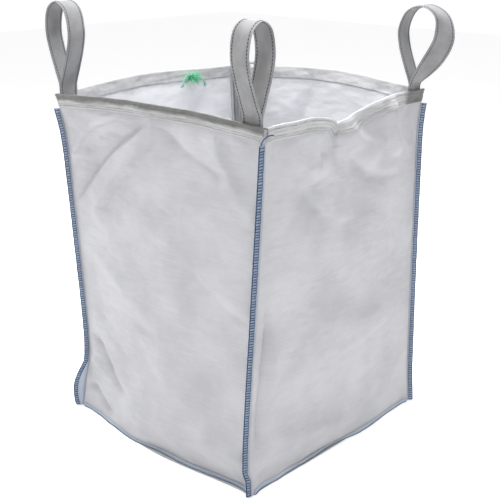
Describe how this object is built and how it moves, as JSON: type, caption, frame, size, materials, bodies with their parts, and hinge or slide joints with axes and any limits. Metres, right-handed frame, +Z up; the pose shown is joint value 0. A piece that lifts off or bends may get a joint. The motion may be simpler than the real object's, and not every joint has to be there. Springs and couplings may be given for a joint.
{
  "type": "bulk bag",
  "caption": "Open-topped square bulk bag of white woven cloth with a folded hem, blue corner seams and a webbing lifting loop by each corner.",
  "frame": {"origin": "on the floor under the middle of the base, where the bag rests", "axes": "+Z up; +X and -Y point to the two walls that meet at the front corner, so the front corner points to +X -Y"},
  "size_m": [1.0831, 1.1857, 1.506],
  "materials": {
    "woven_cloth": "matte",
    "hem_cloth": "matte",
    "webbing": "matte",
    "blue_thread": "matte",
    "white_thread": "matte",
    "dark_thread": "matte",
    "green_twine": "matte"
  },
  "bodies": {
    "bag": {"base_panel": "woven_cloth", "wall_front_left": "woven_cloth", "hem_front_left": "hem_cloth", "hem_stitching_front_left": "white_thread", "base_seam_front_left": "woven_cloth", "base_thread_front_left": "blue_thread", "wall_front_right": "woven_cloth", "hem_front_right": "hem_cloth", "hem_stitching_front_right": "white_thread", "base_seam_front_right": "woven_cloth", "base_thread_front_right": "blue_thread", "wall_back_right": "woven_cloth", "hem_back_right": "hem_cloth", "hem_stitching_back_right": "white_thread", "base_seam_back_right": "woven_cloth", "base_thread_back_right": "blue_thread", "wall_back_left": "woven_cloth", "hem_back_left": "hem_cloth", "hem_stitching_back_left": "white_thread", "base_seam_back_left": "woven_cloth", "base_thread_back_left": "blue_thread", "corner_seam_front": "woven_cloth", "corner_thread_front": "blue_thread", "loop_legs_front": "webbing", "loop_stitching_front": "dark_thread", "corner_seam_right": "woven_cloth", "corner_thread_right": "blue_thread", "loop_legs_right": "webbing", "loop_stitching_right": "dark_thread", "corner_seam_back": "woven_cloth", "corner_thread_back": "blue_thread", "loop_legs_back": "webbing", "loop_stitching_back": "dark_thread", "corner_seam_left": "woven_cloth", "corner_thread_left": "blue_thread", "loop_legs_left": "webbing", "loop_stitching_left": "dark_thread", "tie_knot": "green_twine", "tie_tail_1": "green_twine", "tie_tail_2": "green_twine"},
    "front_loop": {"lift_loop_front": "webbing"},
    "right_loop": {"lift_loop_right": "webbing"},
    "back_loop": {"lift_loop_back": "webbing"},
    "left_loop": {"lift_loop_left": "webbing"}
  },
  "joints": [
    {"name": "front_loop_fold", "type": "hinge", "parent": "bag", "child": "front_loop", "pos_m": [0.41399, -0.42406, 1.214], "axis": [0.9981, 0.061, 0], "range_deg": [-118, 118]},
    {"name": "right_loop_fold", "type": "hinge", "parent": "bag", "child": "right_loop", "pos_m": [0.40817, 0.41399, 1.214], "axis": [-0.061, 0.9981, 0], "range_deg": [-125, 110]},
    {"name": "back_loop_fold", "type": "hinge", "parent": "bag", "child": "back_loop", "pos_m": [-0.42999, 0.41433, 1.22], "axis": [-0.9981, -0.061, 0], "range_deg": [-174, 5]},
    {"name": "left_loop_fold", "type": "hinge", "parent": "bag", "child": "left_loop", "pos_m": [-0.43033, -0.42999, 1.214], "axis": [0.061, -0.9981, 0], "range_deg": [-96, 114]}
  ]
}
